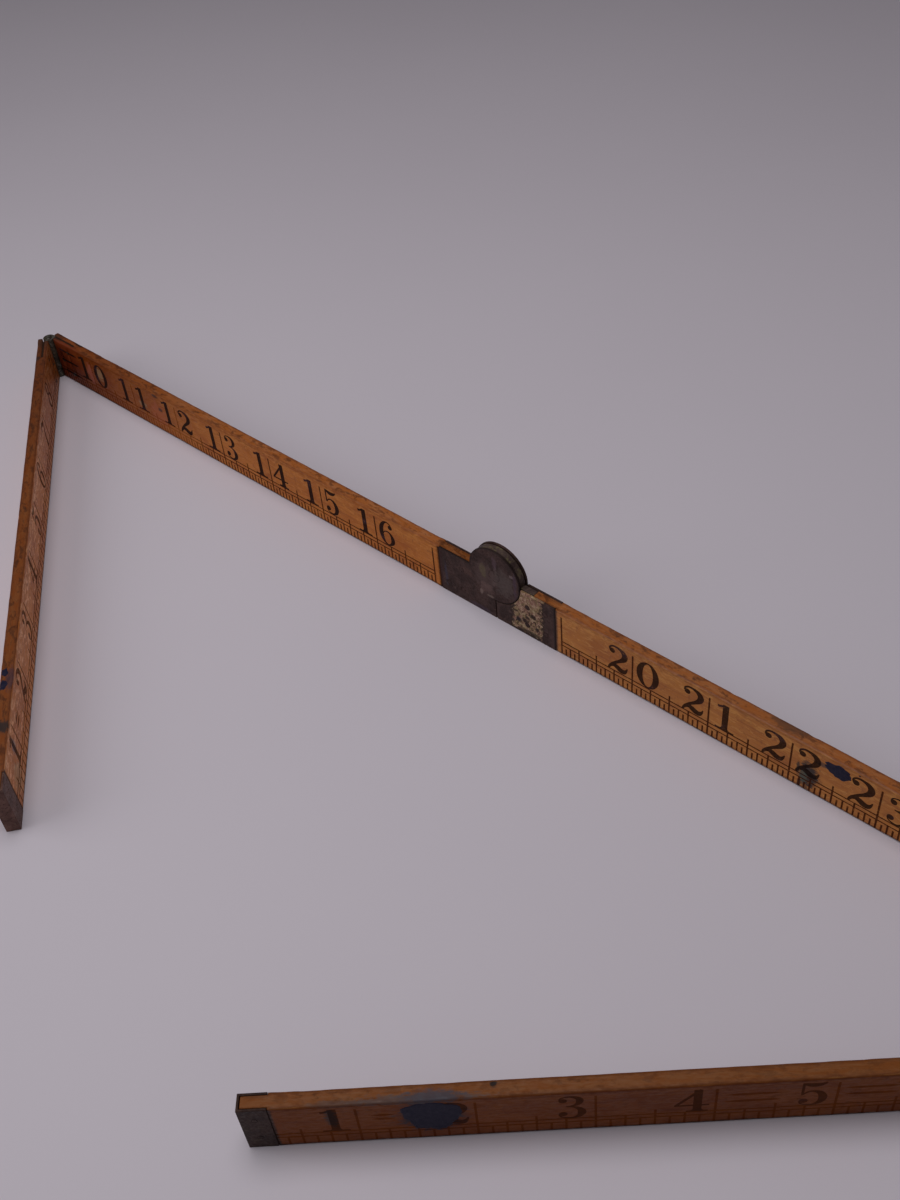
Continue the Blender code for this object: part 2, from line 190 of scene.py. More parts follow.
def worn_leg(leg, start, end):
    """Make a leg's wood again with uneven, dented arrises."""
    shape = bmesh.new()
    shape.from_mesh(leg.wood.data)
    shape.transform(leg.matrix.inverted())
    cut_for_wear(shape, start, end)
    dents = make_nicks(leg)
    for vert in shape.verts:
        u, y, z = vert.co
        deep = min(y, THICKNESS - y)
        low = min(z, WIDTH - z)
        near = 1 - (max(deep, 0) + max(low, 0)) / WEAR_REACH
        if near <= 0:
            continue
        arris = 2 * (y > THICKNESS / 2) + (z > WIDTH / 2)
        shift = arris_wear(leg, dents, start, end, u, arris) * math.sqrt(near)
        shift *= WEAR_ASLANT
        vert.co.y += shift if y < THICKNESS / 2 else -shift
        vert.co.z += shift if z < WIDTH / 2 else -shift
    shape.transform(leg.matrix)
    name = f"leg_{leg.letter}_wood"
    mesh = bpy.data.meshes.new(name + "_worn")
    shape.to_mesh(mesh)
    shape.free()
    mesh.materials.append(wood_material(leg))
    mesh.shade_smooth()
    mesh.set_sharp_from_angle(angle=SHARP_ANGLE)
    piece = add_object(name + "_worn", mesh)
    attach(piece, leg.body)
    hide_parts(name)


# ---- flat marks on faces

INK_RISE = 0.015 * MM  # how far a mark stands off the wood
INK_DEPTH = 0.03 * MM  # how far it reaches into the wood
SMALLEST_AREA = 1e-7


def face_point(leg, side, u, v, out):
    """Return a world point on a leg's face.

    u runs along the way the face is read, v is up, out is off the face.
    """
    if side == "front":
        local = Vector((u, -out, v))
    elif side == "back":
        local = Vector((RULE_INCHES * INCH - u, THICKNESS + out, v))
    else:
        local = Vector((u, v, WIDTH + out))
    return leg.matrix @ local


def union_of(polygons):
    """Join overlapping flat convex polygons and return points and triangles."""
    points = []
    faces = []
    for polygon in polygons:
        for second, third in zip(polygon[1:], polygon[2:]):
            corners = [Vector(corner) for corner in (polygon[0], second, third)]
            area = (corners[1] - corners[0]).cross(corners[2] - corners[0])
            if abs(area) < SMALLEST_AREA:
                continue
            if area < 0:
                corners.reverse()
            faces.append([len(points), len(points) + 1, len(points) + 2])
            points += corners
    made = delaunay_2d_cdt(points, [], faces, 1, MERGE_DISTANCE, True)
    flat, triangles, sources = made[0], made[2], made[5]
    return flat, [tri for tri, source in zip(triangles, sources) if source]


def slab(name, leg, side, parts, material):
    """Make one closed thin piece from flat parts, each (points, triangles)."""
    verts = []
    faces = []
    for points, triangles in parts:
        start = len(verts)
        count = len(points)
        for out in (INK_RISE, -INK_DEPTH):
            verts += [face_point(leg, side, point[0], point[1], out) for point in points]
        edges = {}  # a dict keeps the edges in order
        for tri in triangles:
            faces.append([start + index for index in tri])
            faces.append([start + count + index for index in reversed(tri)])
            for a, b in zip(tri, tri[1:] + tri[:1]):
                edges[(a, b)] = True
        for a, b in edges:
            if (b, a) not in edges:
                faces.append([start + b, start + a, start + count + a, start + count + b])
    return make_piece(name, leg.body, verts, faces, material)


def make_piece(name, body, verts, faces, material, smooth=False):
    """Make a mesh object in world coordinates that rides on a body."""
    mesh = bpy.data.meshes.new(name)
    mesh.from_pydata(verts, [], faces)
    mesh.materials.append(material)
    mesh.update()
    if smooth:
        mesh.shade_smooth()
    piece = add_object(name, mesh)
    remove_loose_points(mesh)
    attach(piece, body)
    return piece


def remove_loose_points(mesh):
    """Drop points that no face uses."""
    shape = bmesh.new()
    shape.from_mesh(mesh)
    unused = [vert for vert in shape.verts if not vert.link_faces]
    bmesh.ops.delete(shape, geom=unused, context="VERTS")
    shape.to_mesh(mesh)
    shape.free()


# ---- the figures
# Each figure is drawn in hundredths of its own height. A pen stroke is a list
# of (x, y, pen width); a ball is (x, y, radius); a ring is an oval with an
# oval counter; a patch is a plain polygon.

PEN_STEPS = 5
ROUND_STEPS = 28


def drawn(*values):
    """Return a point of a figure in heights, from hundredths of a height."""
    return Vector([value / 100 for value in values])


def spline(knots):
    """Return points on a smooth curve through knots."""
    if len(knots) == 2:
        return knots
    k = [knots[0] * 2 - knots[1], *knots, knots[-1] * 2 - knots[-2]]
    points = []
    for i in range(1, len(k) - 2):
        for step in range(PEN_STEPS):
            t = step / PEN_STEPS
            points.append(
                0.5
                * (
                    2 * k[i]
                    + (k[i + 1] - k[i - 1]) * t
                    + (2 * k[i - 1] - 5 * k[i] + 4 * k[i + 1] - k[i + 2]) * t * t
                    + (3 * k[i] - k[i - 1] - 3 * k[i + 1] + k[i + 2]) * t ** 3
                )
            )
    points.append(k[-2])
    return points


def pen(*knots):
    """Return the quads that a pen of changing width covers."""
    centre = spline([drawn(*knot) for knot in knots])
    sides = []
    for i, point in enumerate(centre):
        ahead = centre[min(i + 1, len(centre) - 1)]
        behind = centre[max(i - 1, 0)]
        along = Vector((ahead.x - behind.x, ahead.y - behind.y)).normalized()
        across = Vector((-along.y, along.x)) * point.z / 2
        spot = Vector((point.x, point.y))
        sides.append((spot + across, spot - across))
    quads = []
    for (left, right), (next_left, next_right) in zip(sides, sides[1:]):
        quads.append([left, right, next_right, next_left])
    return quads


def ball(x, y, radius):
    """Return a round terminal."""
    turns = [2 * math.pi * step / ROUND_STEPS for step in range(ROUND_STEPS)]
    return [[drawn(x + radius * math.cos(a), y + radius * math.sin(a)) for a in turns]]


def ring(x, y, outer, inner):
    """Return an oval with an oval counter, as quads."""
    quads = []
    for step in range(ROUND_STEPS):
        a = 2 * math.pi * step / ROUND_STEPS
        b = 2 * math.pi * (step + 1) / ROUND_STEPS
        corners = [(outer, a), (outer, b), (inner, b), (inner, a)]
        quads.append(
            [drawn(x + size[0] * math.cos(t), y + size[1] * math.sin(t)) for size, t in corners]
        )
    return quads


def patch(*points):
    """Return one plain polygon."""
    return [[drawn(*point) for point in points]]


def turned(polygons, width):
    """Turn a figure upside down, as a nine is a turned six."""
    corner = drawn(width, 100)
    return [[corner - point for point in shape] for shape in polygons]


def foot(x, half_stem, reach):
    """Return a flat serif with bracketed corners under a stem."""
    shapes = pen((x - reach, 2.6, 5.2), (x + reach, 2.6, 5.2))
    for way in (-1, 1):
        edge = x + way * half_stem * 0.9
        shapes += patch((edge, 3), (edge + way * 10, 3), (edge + way * 3, 7), (edge, 14))
    return shapes


def draw_figures():
    """Return every figure as (width, polygons)."""
    six = (
        pen(
            (58.5, 82, 3), (52, 93, 4.5), (39, 97.5, 5), (26, 91, 10), (14.5, 72, 16.5),
            (11, 48, 19), (14, 25, 16.5), (23, 8.5, 9), (36, 2.7, 5), (49, 8, 9), (57.5, 19, 15),
            (60, 32, 18), (56, 46, 13), (46, 56.5, 7), (35, 58, 4.5), (25, 53, 4), (17, 43, 4),
        )
        + ball(52.5, 80, 9)
    )
    return {
        "0": (74, ring(38, 50, (38, 50), (17.5, 44.5))),
        "1": (
            60,
            pen((31, 0, 19), (31, 99.5, 19))
            + pen((36, 95, 8), (22, 92, 7.5), (13, 88.5, 8), (5, 87, 10))
            + foot(31, 9.5, 30),
        ),
        "2": (
            68,
            ball(14.5, 76.5, 9.5)
            + pen(
                (5.5, 77, 5), (7, 88, 6), (19, 96, 7), (35, 95.5, 9.5), (50, 89, 16),
                (58, 76, 20), (54, 61, 17.5), (42, 48, 12), (28, 36, 10), (15, 22, 10), (6, 9, 9),
                (2, 0, 6),
            )
            + pen(
                (3, 4, 4), (10, 15, 11), (20, 21.5, 15), (32, 18.5, 19), (44, 12.5, 20),
                (55, 12.5, 17), (63, 20, 9), (67.5, 32, 3),
            ),
        ),
        "3": (
            65,
            ball(14, 80, 9)
            + pen(
                (6, 81, 3), (10, 92, 4.5), (24, 97.2, 5), (38, 95, 9), (48.5, 86, 15),
                (49.5, 73, 15.5), (42, 61, 9), (30, 55, 4.5), (20, 54, 4),
            )
            + pen(
                (22, 54, 4), (36, 51.5, 6), (49, 43, 13), (54.5, 28, 18.5), (49, 12, 13),
                (36, 3.5, 6.5), (22, 3, 5), (10, 8, 4.5), (5, 19, 3.5),
            )
            + ball(14, 20.5, 9.5),
        ),
        "4": (
            74,
            pen((55, 97.5, 7.5), (3, 29, 7.5))
            + pen((0, 28.5, 6), (74, 28.5, 6))
            + pen((49, 0, 18.5), (49, 97, 18.5))
            + foot(49, 9.25, 23),
        ),
        "5": (
            66,
            pen(
                (7.5, 98.5, 4), (19, 93, 12), (31, 90, 15.5), (44, 91.5, 13), (53, 96, 8),
                (58, 100, 3),
            )
            + pen((10, 97, 6), (10, 48, 6))
            + pen(
                (10.5, 49, 4), (20, 60, 5), (33, 63, 7), (47, 55, 14), (54.5, 35, 19),
                (50, 15, 14), (37, 4, 6.5), (23, 3, 5), (10, 8.5, 4.5), (5, 20, 3.5),
            )
            + ball(14.5, 21, 9.5),
        ),
        "6": (69, six),
        "7": (
            64,
            pen(
                (3, 67, 1.5), (5, 80, 5), (11, 90, 10), (22, 92, 15), (35, 87, 15.5),
                (47, 85, 11), (57, 91, 6), (62, 100, 3),
            )
            + pen(
                (61.5, 99, 3), (54, 80, 5), (40, 57, 9), (29, 34, 16), (25.5, 16, 20),
                (26.5, 0, 18),
            ),
        ),
        "8": (
            68,
            ring(34, 76, (25.5, 24), (12.5, 19.7))
            + ring(34, 27, (32.5, 27), (16.5, 22.5)),
        ),
        "9": (69, turned(six, 69)),
    }


FIGURES = {
    figure: (width, union_of(polygons)) for figure, (width, polygons) in draw_figures().items()
}
FIGURE_HEIGHT = 10 * MM
FIGURE_BASE = 5.6 * MM
FIGURE_OFFSET = 5.1 * MM


def place_figure(figure, u):
    """Return a figure's flat part, centred on u."""
    width, (points, triangles) = FIGURES[figure]
    left = u - width / 100 * FIGURE_HEIGHT / 2
    moved = [
        (left + point.x * FIGURE_HEIGHT, FIGURE_BASE + point.y * FIGURE_HEIGHT) for point in points
    ]
    return moved, triangles


def figures_on(leg, side, numbers, material):
    """Print the inch figures: tens left of the line, units right of it."""
    parts = []
    for number in numbers:
        for figure, offset in zip(str(number), (-FIGURE_OFFSET, FIGURE_OFFSET)):
            parts.append(place_figure(figure, number * INCH + offset))
    return slab(f"figures_{leg.letter}_{side}", leg, side, parts, material)


# ---- the graduations

# The height of each line or tick is above the leg's lower edge; the ticks are
# by the part of an inch that they mark.
LOWER_LINE = 3.95 * MM
UPPER_LINE = 5.45 * MM
TICK_HEIGHTS = {1: 15.2 * MM, 2: 7.4 * MM, 4: UPPER_LINE, 8: LOWER_LINE, 16: 3 * MM}
TICK_WIDTH = 0.52 * MM
INCH_LINE_WIDTH = 0.55 * MM
LINE_WIDTH = 0.42 * MM
BAR_HALF = 0.42 * MM
BAR_TAPER = 2 * MM


def bar(u0, u1, v0, v1):
    """Return a rectangle."""
    return [(u0, v0), (u1, v0), (u1, v1), (u0, v1)]


def graduations_on(leg, side, start, end, finest, material):
    """Cut the inch divisions and the two long lines into one face.

    start and end are in inches, and finest is the number of parts in an inch.
    """
    polygons = []
    first = math.ceil(start * finest - 1e-6)
    last = math.floor(end * finest + 1e-6)
    for step in range(first, last + 1):
        part = finest // math.gcd(step, finest)
        width = INCH_LINE_WIDTH if part == 1 else TICK_WIDTH
        u = step * INCH / finest
        polygons.append(bar(u - width / 2, u + width / 2, WEAR_REACH, TICK_HEIGHTS[part]))
    for v in (LOWER_LINE, UPPER_LINE):
        polygons.append(bar(start * INCH, end * INCH, v - LINE_WIDTH / 2, v + LINE_WIDTH / 2))
    scaled = [[(u / MM, v / MM) for u, v in polygon] for polygon in polygons]
    points, triangles = union_of(scaled)
    part = ([(point.x * MM, point.y * MM) for point in points], triangles)
    return slab(f"graduations_{leg.letter}_{side}", leg, side, [part], material)


def tapered_bar(u0, u1, v):
    """Return a long bar that thins to a point at both ends."""
    left, right = u0 + BAR_TAPER, u1 - BAR_TAPER
    low, high = v - BAR_HALF, v + BAR_HALF
    return [(u0, v), (left, low), (right, low), (u1, v), (right, high), (left, high)]


# By leg and face: where each group of bars starts and ends along the way the
# face is read, and the bars' heights, in mm.
BAR_PLACES = {
    ("a", "front"): ((28.6, 34.4, (11.6, 9.9)),),
    ("a", "back"): ((790, 801, (12.2, 9.3)),),
    ("b", "front"): ((232.8, 245, (13.6, 9.3, 4.2)),),
    ("b", "back"): ((588, 599, (12.2, 9.3)),),
    ("c", "front"): ((613.5, 624.5, (12.2, 9.3)),),
    ("c", "back"): ((358, 369, (12.2, 9.3)),),
    ("d", "front"): ((740, 751, (12.2, 9.3)),),
    ("d", "back"): (
        (28.5, 33.6, (11.9, 10.2)),
        (103.6, 115.3, (12.2, 9.3)),
        (128.5, 140, (12.6, 9.8)),
    ),
}


def bars_on(leg, side, material):
    """Print the short double bars between some figures."""
    parts = []
    for start, end, heights in BAR_PLACES[leg.letter, side]:
        for v in heights:
            shape = tapered_bar(start * MM, end * MM, v * MM)
            fan = [[0, index, index + 1] for index in range(1, len(shape) - 1)]
            parts.append((shape, fan))
    return slab(f"bars_{leg.letter}_{side}", leg, side, parts, material)


PAINT_RINGS = 7
PAINT_SECTORS = 44
PAINT_RISE = 0.1 * MM
PAINT_LUMP = 0.9 * MM
TOP_MARGIN = 0.4 * MM


def paint_spot(name, leg, side, u, v, half_u, half_v, seed, material):
    """Make a dried spot of paint with a ragged edge and a low dome, sizes in mm."""
    margin, width = (TOP_MARGIN, THICKNESS) if side == "top" else (WEAR_REACH, WIDTH)
    verts = [face_point(leg, side, u * MM, v * MM, PAINT_RISE)]
    for ring_index in range(1, PAINT_RINGS + 1):
        share = ring_index / PAINT_RINGS
        for sector in range(PAINT_SECTORS):
            turn = 2 * math.pi * sector / PAINT_SECTORS
            ragged = noise.noise(Vector((1.3 * math.cos(turn), 1.3 * math.sin(turn), seed)))
            ragged += 0.5 * noise.noise(Vector((4 * math.cos(turn), 4 * math.sin(turn), seed)))
            reach = share * (1 + 0.38 * ragged)
            place_u = (u + half_u * reach * math.cos(turn)) * MM
            place_v = (v + half_v * reach * math.sin(turn)) * MM
            place_v = min(max(place_v, margin), width - margin)
            lump = noise.noise(Vector((place_u, place_v, 0)) / PAINT_LUMP)
            rise = PAINT_RISE * (1 - share ** 4) * (0.75 + 0.35 * lump)
            if ring_index == PAINT_RINGS:
                rise = -INK_DEPTH
            verts.append(face_point(leg, side, place_u, place_v, rise))
    faces = []
    for sector in range(PAINT_SECTORS):
        after = (sector + 1) % PAINT_SECTORS
        faces.append([0, 1 + sector, 1 + after])
        for ring_index in range(PAINT_RINGS - 1):
            inner = 1 + ring_index * PAINT_SECTORS
            outer = inner + PAINT_SECTORS
            faces.append([inner + sector, outer + sector, outer + after, inner + after])
    last = 1 + (PAINT_RINGS - 1) * PAINT_SECTORS
    faces.append([last + sector for sector in reversed(range(PAINT_SECTORS))])
    return make_piece(name, leg.body, verts, faces, material, smooth=True)


# ---- materials


class Nodes:
    """A small helper for building a material's node tree."""

    def __init__(self, name):
        self.material = bpy.data.materials.new(name)
        self.material.use_nodes = True
        self.tree = self.material.node_tree
        self.shader = self.tree.nodes["Principled BSDF"]

    def put(self, socket, value):
        """Link an input socket, or set it."""
        if isinstance(value, bpy.types.NodeSocket):
            self.tree.links.new(value, socket)
        else:
            socket.default_value = value

    def feed(self, node, **inputs):
        """Set or link input sockets by name; an underscore stands for a space."""
        for key, value in inputs.items():
            self.put(node.inputs[key.replace("_", " ")], value)

    def add(self, kind, **inputs):
        """Add a node with its inputs."""
        node = self.tree.nodes.new(kind)
        self.feed(node, **inputs)
        return node

    def finish(self, **inputs):
        """Feed the shader and return the material."""
        self.feed(self.shader, **inputs)
        return self.material

    def math(self, operation, *values):
        """Return the output of a math node."""
        node = self.tree.nodes.new("ShaderNodeMath")
        node.operation = operation
        for socket, value in zip(node.inputs, values):
            self.put(socket, value)
        return node.outputs[0]

    def times(self, first, second):
        """Return a product."""
        return self.math("MULTIPLY", first, second)

    def minus(self, first, second):
        """Return a difference."""
        return self.math("SUBTRACT", first, second)

    def plus(self, value, other, factor):
        """Return value + factor * other."""
        return self.math("ADD", value, self.times(other, factor))

    def split(self, vector):
        """Return a vector's x, y and z."""
        node = self.add("ShaderNodeSeparateXYZ", Vector=vector)
        return node.outputs["X"], node.outputs["Y"], node.outputs["Z"]

    def length(self, vector):
        """Return a vector's length."""
        node = self.add("ShaderNodeVectorMath", Vector=vector)
        node.operation = "LENGTH"
        return node.outputs["Value"]

    def ramp(self, value, low, high, start=0, end=1):
        """Map a value from low..high to start..end, smoothly and clamped."""
        node = self.add("ShaderNodeMapRange", Value=value, From_Min=low, From_Max=high)
        self.feed(node, To_Min=start, To_Max=end)
        node.interpolation_type = "SMOOTHSTEP"
        return node.outputs["Result"]

    def mix(self, factor, first, second, blend="MIX"):
        """Return a mix of two colours."""
        node = self.tree.nodes.new("ShaderNodeMix")
        node.data_type = "RGBA"
        node.blend_type = blend
        node.clamp_factor = True
        self.put(node.inputs[0], factor)
        for socket, colour in ((node.inputs[6], first), (node.inputs[7], second)):
            if not isinstance(colour, bpy.types.NodeSocket):
                colour = (*colour, 1)
            self.put(socket, colour)
        return node.outputs[2]

    def lay(self, colour, over, value, low, high, strength):
        """Lay one colour over another where a value goes from low to high."""
        return self.mix(self.ramp(value, low, high, 0, strength), colour, over)

    def noise(self, vector, scale, detail, roughness, distortion=0):
        """Return the height of a noise texture, 0 to 1."""
        node = self.add("ShaderNodeTexNoise", Vector=vector, Scale=scale, Detail=detail)
        self.feed(node, Roughness=roughness, Distortion=distortion)
        return node.outputs["Fac"]

    def stretched_noise(self, vector, stretch, detail, roughness, distortion=0):
        """Return a noise texture whose axes are scaled one by one."""
        node = self.add("ShaderNodeMapping", Vector=vector, Scale=stretch)
        return self.noise(node.outputs["Vector"], 1, detail, roughness, distortion)

    def bump(self, height, strength, distance):
        """Return a normal from a height."""
        node = self.add("ShaderNodeBump", Height=height, Strength=strength, Distance=distance)
        return node.outputs["Normal"]

    def object_space(self):
        """Return the place on a piece at rest, in metres."""
        return self.add("ShaderNodeTexCoord").outputs["Object"]

    def in_millimetres(self, vector):
        """Return a vector scaled from metres to millimetres."""
        node = self.add("ShaderNodeVectorMath", Vector=vector)
        node.operation = "SCALE"
        self.feed(node, Scale=1 / MM)
        return node.outputs["Vector"]


# Colours are linear red, green and blue.
WOOD_LIGHT = (0.6, 0.205, 0.035)
WOOD_MID = (0.46, 0.135, 0.022)
WOOD_DARK = (0.24, 0.05, 0.009)
WOOD_SMUDGE = (0.27, 0.072, 0.018)
WORN_WOOD = (0.6, 0.24, 0.07)
EDGE_PALE = (0.5, 0.185, 0.058)
EDGE_BROWN = (0.16, 0.048, 0.013)
DIRT = (0.045, 0.016, 0.008)
HIGH_DIRT = (0.26, 0.075, 0.022)
# A painted shadow in the gap where the wood meets a cap or plate.
SEAM_SHADOW = (0.03, 0.01, 0.006)
GRIME = (0.13, 0.05, 0.02)
INK_DARK = (0.01, 0.0035, 0.002)
INK_BROWN = (0.03, 0.014, 0.012)
INK_BLUE = (0.03, 0.022, 0.042)
CUT_DARK = (0.04, 0.009, 0.003)
CUT_RED = (0.08, 0.022, 0.008)
PAINT_DARK = (0.009, 0.009, 0.03)
PAINT_LIGHT = (0.02, 0.017, 0.04)
PAINT_DUST = (0.03, 0.022, 0.024)
TARNISH = (0.02, 0.011, 0.01)
PATINA_DARK = (0.037, 0.0165, 0.013)
PATINA_LIGHT = (0.072, 0.036, 0.03)
RUBBED_PINK = (0.115, 0.062, 0.052)
PLATE_END = (0.045, 0.014, 0.012)
BARE_YELLOW = (0.3, 0.2, 0.095)
BARE_PINK = (0.32, 0.165, 0.115)
BARE_PALE = (0.58, 0.44, 0.29)
BARE_NET = (0.05, 0.024, 0.01)
BARE_PORES = (0.085, 0.05, 0.026)
BARE_OUTLINE = (0.03, 0.014, 0.009)
BARE_END = (0.022, 0.01, 0.008)
FLOOR_DARK = (0.66, 0.6, 0.67)
FLOOR_LIGHT = (0.7, 0.64, 0.71)

# By leg: the shade of its faces and of its narrow edges.
LEG_SHADES = {
    # Leg a's light face shade is partly its wood's tone and partly a painted sheen on its front.
    "a": ((1.12, 1.1, 1.13), (0.45, 0.36, 0.25)),
    "b": ((0.95, 0.92, 0.86), (0.82, 0.8, 0.93)),
    "c": ((0.9, 0.98, 1.04), (0.75, 0.72, 0.73)),
    "d": ((0.355, 0.25, 0.096), (0.445, 0.43, 0.42)),
}
# By leg: between which two places its shade turns to the one at its 9 inch
# hinge, how much less it does so on the narrow edges, and that shade.
HINGE_END_SHADES = {
    "a": ((120, 215, 0, 1), 0, (0.7, 0.62, 0.6)),
    "b": ((245, 345, 1, 0), 0.2, (0.46, 0.3, 0.13)),
}
# By leg: the colour and strength of its small chipped spots, partly a painted sheen on leg a.
CHIPS_AND_SHEEN = {
    "a": ((0.88, 0.48, 0.24), 0.75),
    "b": ((0.7, 0.29, 0.062), 0.4),
    "c": ((0.78, 0.34, 0.08), 0.45),
    "d": ((0.66, 0.27, 0.06), 0.35),
}
# By leg: how scuffed and how speckled its narrow edges are.
EDGE_WEAR = {"a": (0.8, 0.55), "b": (0.8, 0.6), "c": (0.8, 0.6), "d": (0.35, 0.12)}
# By leg: coat weight and specular level.
GLOSS = {"a": (0.06, 0.26), "b": (0.02, 0.15), "c": (0.06, 0.26), "d": (0, 0.14)}
# By leg: where wood meets metal at its capped or plated end.
METAL_SEAMS = {"a": 6.9, "b": 434.6, "c": 480.3, "d": 907.5}
# By leg: how dirty its rear upper arris is.
BACK_ARRIS = {"a": 0.35, "b": 0.6, "c": 0.35, "d": 0.3}
INK_STRENGTH = {"a": 0.78, "b": 0.97, "c": 0.93, "d": 0.62}
CUT_STRENGTH = {"a": 0.78, "b": 0.95, "c": 0.95, "d": 0.33}
# A stain is its centre, its reach, its colour and its strength; one pale patch on leg a is a painted sheen.
STAINS_AND_SHEEN = {
    "a": (
        ((23.4, 1.6, 17), (3, 2.4, 1), (0.035, 0.02, 0.018), 0.95),
        ((42, 1, 17), (6, 1.6, 1), (0.03, 0.025, 0.05), 0.55),
        ((214, 3.4, 17), (2, 1.2, 1), (0.04, 0.015, 0.01), 0.8),
        ((20.4, 0, 11.6), (2.6, 2, 3), (0.14, 0.1, 0.13), 0.7),
        # A pale yellow patch on the front by the tip: a painted sheen.
        ((14, 0, 6), (6, 2, 5), (0.42, 0.25, 0.1), 0.5),
        ((226, 2, 17), (6, 3, 1.5), (0.07, 0.028, 0.014), 0.65),
    ),
    "b": (
        ((234, 0, 9), (19, 3, 14), (0.17, 0.026, 0.01), 0.75),
        ((231, 2, 17), (5, 3, 1.5), (0.055, 0.022, 0.012), 0.75),
        ((243.5, 3.4, 17), (3.2, 0.9, 1), (0.03, 0.012, 0.008), 0.85),
        ((252.5, 0, 9.5), (2.4, 2, 6), (0.46, 0.13, 0.09), 0.55),
        ((259, 0, 11.5), (2.6, 2, 3.6), (0.34, 0.21, 0.11), 0.75),
        ((284.5, 0, 8.5), (3, 2, 1.6), (0.3, 0.2, 0.1), 0.6),
        ((294, 0, 8), (6, 2, 6), (0.42, 0.1, 0.035), 0.55),
        ((294.2, 0, 15.6), (2.2, 2, 0.9), (0.05, 0.018, 0.01), 0.85),
        ((295.6, 0, 10.2), (1.7, 2, 1.2), (0.06, 0.022, 0.012), 0.85),
    ),
    "c": (
        ((564.4, 0, 6.2), (3.6, 2, 6.4), (0.022, 0.016, 0.014), 0.96),
        ((563, 0, 5), (1.5, 2, 3.2), (0.085, 0.095, 0.07), 0.75),
        ((562, 0, 1.6), (0.7, 2, 2.6), (0.005, 0.005, 0.005), 0.97),
        ((561.2, 0, 7.6), (0.7, 2, 3), (0.02, 0.018, 0.014), 0.85),
        ((568.5, 0, 13.2), (4, 2, 1.2), (0.03, 0.025, 0.03), 0.7),
        ((556, 3, 17), (7, 2.4, 1), (0.09, 0.04, 0.022), 0.7),
    ),
    "d": (
        ((873, 4, 10.4), (9, 2, 8.2), (0.035, 0.018, 0.022), 0.75),
        ((873.2, 4, 10.6), (7, 2, 7.4), (0.01, 0.01, 0.026), 0.95),
        ((894.4, 4, 12), (1.6, 2, 5), (0.03, 0.024, 0.026), 0.8),
        ((876, 3.4, 17), (18, 1.8, 1), (0.075, 0.055, 0.055), 0.7),
        ((872.5, 3, 17), (8, 2, 1), (0.05, 0.046, 0.066), 0.7),
        ((893, 3.6, 17), (7, 1.3, 1), (0.09, 0.05, 0.04), 0.6),
        ((859.5, 1, 17), (0.9, 0.8, 1), (0.012, 0.006, 0.005), 0.95),
    ),
}


def add_stains(nodes, stains, place, ragged, colour):
    """Lay stains, and any painted sheen listed with them, over a colour, with edges made ragged by a noise."""
    for centre, reach, stain, strength in stains:
        mapping = nodes.add(
            "ShaderNodeMapping",
            Vector=place,
            Location=[-c / r for c, r in zip(centre, reach)],
            Scale=[1 / r for r in reach],
        )
        far = nodes.plus(nodes.length(mapping.outputs["Vector"]), ragged, 1.7)
        colour = nodes.mix(nodes.ramp(far, 1.35, 1.85, strength, 0), colour, stain)
    return colour


class Wood:
    """The noises and the distances, in mm, that colour one leg's wood."""

    def __init__(self, nodes, leg):
        mapping = nodes.add(
            "ShaderNodeMapping",
            Vector=nodes.object_space(),
            Location=leg.matrix.inverted().translation,
            Rotation=(0, 0, -leg.angle),
        )
        self.place = nodes.in_millimetres(mapping.outputs["Vector"])
        self.along, across, self.up = nodes.split(self.place)
        self.grain = nodes.stretched_noise(self.place, (0.035, 1.7, 1.7), 6, 0.65, 0.4)
        self.fibre = nodes.stretched_noise(self.place, (0.22, 6, 6), 4, 0.65)
        self.cloud = nodes.stretched_noise(self.place, (0.06, 0.16, 0.16), 4, 0.55, 0.7)
        self.fleck = nodes.stretched_noise(self.place, (0.5, 1.3, 1.3), 4, 0.65)
        self.streak = nodes.stretched_noise(self.place, (0.17, 1.1, 1.1), 5, 0.7, 0.6)
        from_top = nodes.minus(WIDTH / MM, self.up)
        from_rim = nodes.math("MINIMUM", self.up, from_top)
        from_back = nodes.minus(THICKNESS / MM, across)
        from_face = nodes.math("MINIMUM", across, from_back)
        nearer = nodes.minus(from_rim, from_face)
        self.from_back = from_back
        self.from_arris = nodes.math("ADD", from_rim, from_face)
        self.on_edge = nodes.ramp(nearer, -0.12, 0.12, 1, 0)
        self.on_face = nodes.minus(1, self.on_edge)


def face_colour(nodes, leg, wood):
    """Return varnished boxwood with grain, small chipped spots and smudges; on leg a the pale spots partly paint a
    sheen.
    """
    colour = nodes.mix(nodes.ramp(wood.cloud, 0.3, 0.66), WOOD_MID, WOOD_LIGHT)
    colour = nodes.lay(colour, WOOD_DARK, wood.grain, 0.48, 0.74, 0.55)
    colour = nodes.lay(colour, WOOD_DARK, wood.fibre, 0.52, 0.78, 0.45)
    chips_and_sheen = nodes.stretched_noise(wood.place, (0.26, 0.75, 0.75), 6, 0.74, 0.6)
    chips_and_sheen = nodes.math("ADD", chips_and_sheen, nodes.ramp(wood.up, 8, 15, 0, 0.05))
    # On leg a the pale pink spots also paint the sheen of scratches on its front.
    chip_and_sheen_colour, strength = CHIPS_AND_SHEEN[leg.letter]
    colour = nodes.lay(colour, chip_and_sheen_colour, chips_and_sheen, 0.55, 0.6, strength)
    smudge = nodes.stretched_noise(wood.place, (0.3, 0.22, 0.22), 5, 0.66, 1.2)
    return nodes.lay(colour, WOOD_SMUDGE, smudge, 0.54, 0.7, 0.5)


def edge_colour(nodes, leg, wood):
    """Return the bare, scuffed wood of the narrow edges."""
    colour = nodes.mix(nodes.ramp(wood.streak, 0.36, 0.6), EDGE_PALE, WOOD_MID)
    scuffs = nodes.stretched_noise(wood.place, (0.28, 0.55, 0.55), 5, 0.68, 0.5)
    scuffed, speckled = EDGE_WEAR[leg.letter]
    colour = nodes.lay(colour, EDGE_BROWN, scuffs, 0.49, 0.62, scuffed)
    return nodes.lay(colour, DIRT, wood.fleck, 0.56, 0.7, speckled)


